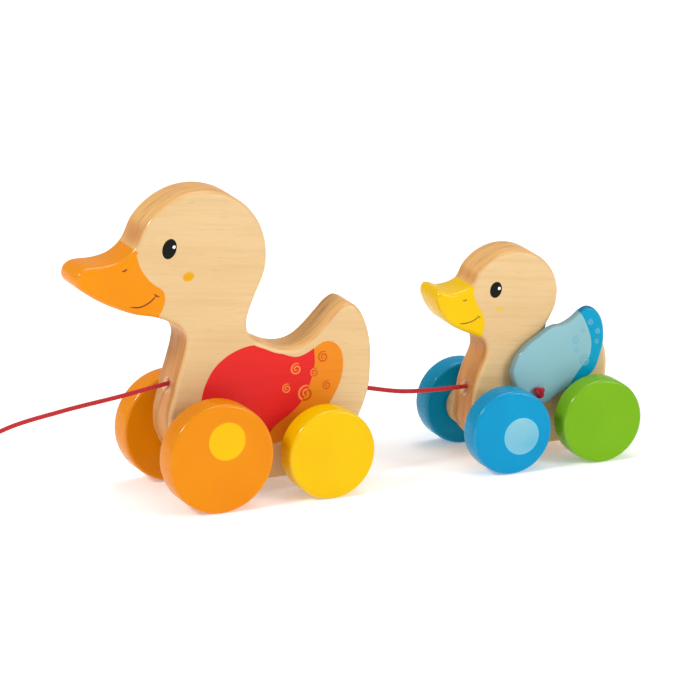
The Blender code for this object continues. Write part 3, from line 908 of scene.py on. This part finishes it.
def braid(name, light, dark):
    """A braided cord: strands cross over each other both ways round it."""
    n = Nodes(name, 0.75, specular=0.25)
    n.shader.inputs["Sheen Weight"].default_value = 0.15
    n.shader.inputs["Sheen Roughness"].default_value = 0.5
    split = n.add("ShaderNodeSeparateXYZ")
    n.link(n.coords.outputs["UV"], split.inputs["Vector"])
    along = n.maths("MULTIPLY", split.outputs["X"], math.tau / 0.0032)
    round_it = n.maths("MULTIPLY", split.outputs["Y"], math.tau * 4)
    one_way = n.maths("SINE", n.maths("ADD", along, round_it), 0.0)
    other_way = n.maths("SINE", n.maths("SUBTRACT", along, round_it), 0.0)
    weave = n.maths("MULTIPLY", one_way, other_way)
    lie = n.span(weave, -0.9, 0.9)
    fuzz = n.noise((2500, 2500, 2500), 2.0)
    # Painted shade: the cord turns to its dark colour where the strands dip under each other
    tone = n.mix(lie, dark, light)
    tone = n.mix(n.span(fuzz, 0.45, 0.75, 0.0, 0.4), tone, dark)
    n.colour(tone)
    n.bump(n.maths("ADD", lie, n.maths("MULTIPLY", fuzz, 0.4)), 0.6, 0.0002)
    return n.material


def plain_print(name, colour, roughness=0.38):
    """Ink or a thin printed colour on the board."""
    n = Nodes(name, roughness, specular=0.12)
    grain = n.noise((30, 300, 420), 4.0, roughness=0.6)
    deep = tuple(c * 0.86 for c in colour)
    n.colour(n.mix(n.span(grain, 0.42, 0.72, 0.0, 0.45), colour, deep))
    n.roughness(n.span(grain, 0.3, 0.7, roughness - 0.04, roughness + 0.06))
    n.bump(grain, 0.15, 0.0001)
    return n.material


# ---------------- studio


def aimed_camera():
    camera = bpy.data.cameras.new("camera")
    camera.lens = CAMERA_LENS
    camera.sensor_width = 36.0
    camera.clip_start = 0.1
    camera.clip_end = 60.0
    holder = new_object("camera", camera)
    a, e = CAMERA_AZIMUTH, CAMERA_ELEVATION
    back = Vector((math.sin(a) * math.cos(e), -math.cos(a) * math.cos(e), math.sin(e)))
    right = Vector((math.cos(a), math.sin(a), 0))
    up = back.cross(right)
    place = Matrix((right, up, back)).transposed().to_4x4()
    place.translation = Vector(CAMERA_AT) * MM
    holder.matrix_world = place
    bpy.context.scene.camera = holder


def table():
    bm = bmesh.new()
    bmesh.ops.create_grid(bm, x_segments=1, y_segments=1, size=12.0)
    finished("floor", bm, [pale_floor()])


def studio_light():
    """Soft light from everywhere and three square lamps aimed at the toy."""
    world = bpy.data.worlds.new("studio")
    world.use_nodes = True
    sky = world.node_tree.nodes["Background"]
    sky.inputs["Color"].default_value = (1.0, 1.0, 1.0, 1.0)
    sky.inputs["Strength"].default_value = WORLD_LIGHT
    bpy.context.scene.world = world
    bpy.context.scene.view_settings.view_transform = "Standard"

    for name, place, size, watts in LAMPS:
        lamp = bpy.data.lights.new(name, "AREA")
        lamp.shape = "RECTANGLE"
        lamp.size, lamp.size_y = size
        lamp.energy = watts
        obj = new_object(name, lamp)
        obj.location = place
        aim = Vector((0.0, 0.0, 0.06)) - Vector(place)
        obj.rotation_euler = aim.to_track_quat("-Z", "Y").to_euler()


def pale_floor():
    """A white table lit a little from beneath."""
    n = Nodes("pale_floor", 0.8, specular=0.1)
    cloud = n.noise((3, 3, 3), 2.0)
    n.colour(n.ramp(cloud, (0.3, 0.95), (0.7, 0.97)))
    n.shader.inputs["Emission Color"].default_value = (1.0, 1.0, 1.0, 1.0)
    n.shader.inputs["Emission Strength"].default_value = FLOOR_GLOW
    return n.material


# ---------------- assembly

BEECH_MOTHER = beech("mother_beech")
BEECH_DUCKLING = beech("duckling_beech", 3.0)
TURNED = turned_beech("turned_beech")
HOLE_WOOD = gloss_paint("hole_wood", HOLE_LIGHT, SIDE_GRAIN, roughness=0.6, coat=0.0)
CORD_LOOK = braid("red_braid", CORD_RED, CORD_SHADE)
KNOT_LOOK = braid("knot_braid", KNOT_RED, KNOT_SHADE)


def ride_as(obj, body):
    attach(obj, body)


def wheel_pair(duck, place, duck_x, spot, wide, bore_r, paint, dot=None):
    for hand, side in SIDES:
        made = wheel(f"{duck}_{place}_wheel_{hand}", duck_x, spot, side, wide, bore_r, paint, dot)
        ride_as(made, f"{duck}_{place}_axle")


def disc_pair(stem, axle, duck_x, spot, bore_r, radius, offset=0.0, towards=0.0):
    for hand, side in SIDES:
        made = disc(f"{stem}_{hand}", duck_x, spot, side, bore_r, radius, offset, towards)
        ride_as(made, axle)


def mother_paints():
    """The beak, smile, eye and cheek, and the printed wing with its curls."""
    beak = gloss_paint("beak_orange", BEAK_ORANGE, BEAK_ORANGE_DEEP)
    smile_ink = plain_print("smile_ink", SMILE)
    red = plain_print("print_red", PRINT_RED)
    orange = plain_print("print_orange", PRINT_ORANGE)
    light = plain_print("print_line_light", LINE_LIGHT)
    dark = plain_print("print_line_dark", LINE_DARK)
    print_area = curve_points(PRINT_OUTLINE, 1.0, closed=True)
    paints = [
        Paint(beak, side_of(MOTHER_BEAK_EDGE, -90.0), wraps=True),
        Paint(smile_ink, stroke([(-37.0, 101.9), (-32.3, 101.3), (-27.5, 102.9), (-23.3, 106.2)], 0.75)),
        Paint(smile_ink, stroke([(-24.6, 107.2), (-23.4, 106.0), (-21.9, 105.5)], 0.7)),
        Paint(smile_ink, stroke([(-41.1, 120.3), (-39.8, 120.4), (-38.6, 121.2)], 0.9)),
        Paint(plain_print("eye_black", EYE_BLACK, 0.2), ellipse((-16.5, 128.7), 3.7, 5.1, 15.0)),
        Paint(plain_print("eye_glint", EYE_GLINT), ellipse((-14.1, 129.4), 0.85, 0.85, steps=16)),
        Paint(plain_print("cheek_yellow", CHEEK), ellipse((-6.7, 113.7), 2.9, 2.3, -10.0)),
        Paint(orange, print_area),
        Paint(red, print_area, side_of(PRINT_RED_EDGE, -30.0)),
    ]
    for centre, radius in PRINT_SPIRALS:
        curl = spiral(centre, radius)
        paints.append(Paint(dark, curl))
        paints.append(Paint(light, curl, side_of(PRINT_RED_EDGE, -30.0)))
    return paints


def mother_body():
    body = board(
        "mother_board", duck_outline(MOTHER_OUTLINE, MOTHER_HEAD), MOTHER_X, -BODY_HALF, BODY_HALF,
        BODY_ROUND, BEECH_MOTHER, mother_paints(),
    )
    holes = [cross_bore(MOTHER_X, spot, MOTHER_BORE) for spot in (MOTHER_FRONT, MOTHER_REAR)]
    holes += cord_hole(MOTHER_X, CHEST_HOLE, -1)
    holes += cord_hole(MOTHER_X, TAIL_HOLE, 1)
    bored(body, holes, HOLE_WOOD)
    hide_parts("mother_body")
    ride_as(body, "mother")


def mother_wheels():
    """Wheels and the plain discs beside them, on both axles."""
    orange = gloss_paint("wheel_orange", ORANGE, ORANGE_DEEP, "Y")
    yellow = gloss_paint("wheel_yellow", YELLOW, YELLOW_DEEP, "Y")
    dot = (
        *MOTHER_DOT,
        gloss_paint("dot_yellow", DOT_YELLOW, YELLOW_DEEP, "Y"),
        gloss_paint("dot_yellow_rim", DOT_YELLOW_RIM, ORANGE_DEEP, "Y"),
    )
    for place, spot, paint, slot, mark in (
        ("front", MOTHER_FRONT, orange, "orange_paint", dot),
        ("rear", MOTHER_REAR, yellow, "yellow_paint", None),
    ):
        wheel_pair("mother", place, MOTHER_X, spot, MOTHER_WHEEL_WIDE, MOTHER_BORE, paint, mark)
        stem, axle = f"mother_{place}_spacer", f"mother_{place}_axle"
        disc_pair(stem, axle, MOTHER_X, spot, MOTHER_BORE, SPACER_R)


def duckling_paints():
    """The beak, smile, eye and cheek."""
    beak = gloss_paint("beak_yellow", BEAK_YELLOW, BEAK_YELLOW_DEEP)
    smile_ink = plain_print("duckling_smile_ink", SMILE_DUCKLING)
    return [
        Paint(beak, side_of(DUCKLING_BEAK_EDGE, -60.0), wraps=True),
        Paint(smile_ink, stroke([(-18.1, 73.0), (-14.5, 72.9), (-11.0, 73.6), (-7.7, 75.4)], 0.65)),
        Paint(smile_ink, stroke([(-8.4, 76.1), (-7.7, 75.3), (-6.8, 74.9)], 0.6)),
        Paint(smile_ink, stroke([(-16.4, 84.7), (-15.2, 84.6), (-14.1, 85.0)], 0.7)),
        Paint(plain_print("duckling_eye_black", EYE_BLACK, 0.2), ellipse((1.5, 88.1), 3.2, 4.1, 12.0)),
        Paint(plain_print("duckling_eye_glint", EYE_GLINT), ellipse((3.3, 88.6), 0.8, 0.8, steps=16)),
        Paint(plain_print("duckling_cheek", CHEEK_DUCKLING), ellipse((3.6, 77.9), 1.7, 1.3, -10.0)),
    ]


def duckling_body():
    body = board(
        "duckling_board", duck_outline(DUCKLING_OUTLINE, DUCKLING_HEAD), DUCKLING_X, -BODY_HALF,
        BODY_HALF, BODY_ROUND, BEECH_DUCKLING, duckling_paints(),
    )
    axles = (DUCKLING_FRONT, DUCKLING_REAR)
    holes = [cross_bore(DUCKLING_X, spot, DUCKLING_BORE) for spot in axles]
    holes.append(cross_bore(DUCKLING_X, WING_PIVOT, WING_HOLE_R))
    holes += cord_hole(DUCKLING_X, DUCKLING_CHEST_HOLE, -1)
    bored(body, holes, HOLE_WOOD)
    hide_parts("duckling_body")
    ride_as(body, "duckling")


def duckling_wheels():
    """Wheels on both axles, plain discs on the front one and the wings' cams on the rear one."""
    blue = gloss_paint("wheel_blue", BLUE, BLUE_DEEP, "Y")
    green = gloss_paint("wheel_green", GREEN, GREEN_DEEP, "Y")
    dot = (
        *DUCKLING_DOT,
        gloss_paint("dot_blue", DOT_BLUE, WING_BLUE, "Y"),
        gloss_paint("dot_blue_rim", DOT_BLUE_RIM, BLUE_DEEP, "Y"),
    )
    for place, spot, paint, slot, mark in (
        ("front", DUCKLING_FRONT, blue, "blue_paint", dot),
        ("rear", DUCKLING_REAR, green, "green_paint", None),
    ):
        wheel_pair(
            "duckling", place, DUCKLING_X, spot, DUCKLING_WHEEL_WIDE, DUCKLING_BORE, paint, mark
        )
    disc_pair(
        "duckling_front_spacer", "duckling_front_axle", DUCKLING_X, DUCKLING_FRONT, DUCKLING_BORE,
        SPACER_R,
    )
    disc_pair(
        "wing_cam", "duckling_rear_axle", DUCKLING_X, DUCKLING_REAR, DUCKLING_BORE, CAM_R,
        CAM_OFFSET, CAM_TOWARDS,
    )


def raised(points, angle):
    """Wing points turned about the wing cord."""
    pivot = Vector(WING_PIVOT)
    turn = Matrix.Rotation(angle, 2)
    return [pivot + turn @ (Vector(point) - pivot) for point in points]


def wings():
    """The two wings and the knots that hold them on their cord."""
    light = gloss_paint("wing_light_blue", WING_LIGHT, WING_LIGHT_DEEP, roughness=0.34, rim=WING_RIM_SHADE)
    blue = gloss_paint("wing_blue", WING_BLUE, WING_BLUE_DEEP, roughness=0.3, rim=WING_BLUE_RIM_SHADE)
    line = plain_print("wing_line", WING_LINE)
    loop = curve_points(WING_OUTLINE, 1.0, closed=True)
    x, z = DUCKLING_X + WING_PIVOT[0], WING_PIVOT[1]
    for hand, side in SIDES:
        angle = FAR_WING_RAISED if hand == "right" else 0.0
        paints = [Paint(blue, raised(side_of(WING_BLUE_EDGE, 90.0), angle), wraps=True)]
        for centre, radius in WING_SPIRALS:
            paints.append(Paint(line, raised(spiral(centre, radius), angle)))
        low, high = sorted((side * WING_IN, side * (WING_IN + WING_THICK)))
        wing = board(
            f"wing_{hand}_look", raised(loop, angle), DUCKLING_X, low, high, WING_ROUND, light, paints
        )
        bored(wing, [((x, low - 2, z), (x, high + 2, z), WING_HOLE_R, WING_HOLE_R)], HOLE_WOOD)
        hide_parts(f"duckling_wing_{hand}")
        ride_as(wing, f"wing_{hand}")
        knot = tied_knot(
            f"wing_knot_{hand}_look", (x, side * (WING_IN + WING_THICK + KNOT_OUT), z),
            (0, 1, 0), KNOT_SIZE, KNOT_LOOK, strand=CORD * 0.58,
        )
        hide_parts(f"wing_knot_{hand}")
        ride_as(knot, "duckling")


def shifted(points, x):
    """The points moved along X."""
    return [Vector((p[0] + x, p[1], p[2])) for p in points]


def coil_points():
    """Seven turns in a round bundle: one in the middle and six about it, each beside the last."""
    bundle_z = CORD * 1.5
    places = []
    for widths, deg in COIL_PLACES:
        reach, a = widths * CORD, math.radians(deg)
        places.append(
            (reach * math.cos(a) * COIL_SQUASH[0], bundle_z + reach * math.sin(a) * COIL_SQUASH[1])
        )
    found = []
    turns = len(places)
    total = turns * 360.0 + (COIL_START_DEG - COIL_END_DEG)
    count = int(total / 360.0 * 26)
    for k in range(count + 1):
        turned = total * k / count
        a = math.radians(COIL_START_DEG - turned)
        now = turned / 360.0
        i = min(int(now), turns - 1)
        # the last quarter of a turn moves over to the next place
        ease = min(1.0, max(0.0, (now - i - 0.75) / 0.25)) if i + 1 < turns else 0.0
        ease = ease * ease * (3 - 2 * ease)
        j = min(i + 1, turns - 1)
        out = places[i][0] * (1 - ease) + places[j][0] * ease
        up = places[i][1] * (1 - ease) + places[j][1] * ease
        r = COIL_RING_R + out
        found.append(Vector((COIL_CENTRE[0] + r * math.cos(a), COIL_CENTRE[1] + r * math.sin(a), up)))
    return found


def pull_cord():
    """The cord from the mother's chest to its coil on the table and the bead on its end."""
    route = shifted(PULL_ROUTE + coil_points() + TAIL_ROUTE, MOTHER_X)
    route = curve_points(route, 1.2, closed=False)
    pull = swept("pull_cord_look", route, CORD / 2, CORD_LOOK)
    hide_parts("pull_cord", "pull_cord_coil", "pull_cord_tail")
    ride_as(pull, "mother")

    bead = turned_bead(MOTHER_X + BEAD_AT[0], BEAD_AT[1])
    knot_at = (MOTHER_X + BEAD_KNOT_X, BEAD_AT[1], BEAD_R)
    knot = tied_knot("bead_knot_look", knot_at, (1, 0, 0), KNOT_SIZE, CORD_LOOK)
    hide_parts("bead_knot")
    ride_as(knot, "mother")


def link_cord():
    """The cord from the mother's tail to the duckling's chest."""
    route = curve_points(shifted(LINK_ROUTE, MOTHER_X), 1.2, closed=False)
    link = swept("link_cord_look", route, CORD / 2, CORD_LOOK)
    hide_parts("link_cord")
    ride_as(link, "link_cord")


def turned_bead(x, y):
    """The bead at the cord's end, drilled along X, its hole eased."""
    edge = math.asin((BEAD_HOLE_R + 0.7) / BEAD_R)
    profile = []
    for k in range(25):
        a = edge + (math.pi - 2 * edge) * k / 24
        profile.append((-BEAD_R * math.cos(a), BEAD_R * math.sin(a)))
    half = -profile[0][0]
    eased = [(half - 0.2, BEAD_HOLE_R + 0.2), (half - 0.7, BEAD_HOLE_R)]
    profile = [(-along, r) for along, r in reversed(eased)] + profile + eased
    bm = bmesh.new()
    turned_rings(bm, [((0, along, 0), r) for along, r in profile], 64, closed=True)
    turn = Matrix.Rotation(-math.pi / 2, 4, "Z")
    bmesh.ops.transform(bm, matrix=turn, verts=bm.verts)
    move = Matrix.Translation(Vector((x, y, BEAD_R)) * MM)
    bmesh.ops.transform(bm, matrix=move, verts=bm.verts)
    bead = clean_object("pull_bead_look", bm, [TURNED], flat_across_y=False)
    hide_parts("pull_bead")
    ride_as(bead, "mother")
    return bead


def cad_looks():
    """CAD pieces that stay as they are get the finished materials."""
    for node in ("mother_front_axle", "mother_rear_axle", "duckling_front_axle", "duckling_rear_axle"):
        set_look(node, TURNED)
    for node in (
        "wing_cord", "pull_cord_anchor_knot", "link_cord_front_knot", "link_cord_rear_knot"
    ):
        set_look(node, KNOT_LOOK)


def set_look(node, material):
    """Puts one material on a CAD piece."""
    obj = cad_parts[node]
    obj.data.materials.clear()
    obj.data.materials.append(material)


aimed_camera()
table()
studio_light()
mother_body()
mother_wheels()
duckling_body()
duckling_wheels()
wings()
pull_cord()
link_cord()
cad_looks()
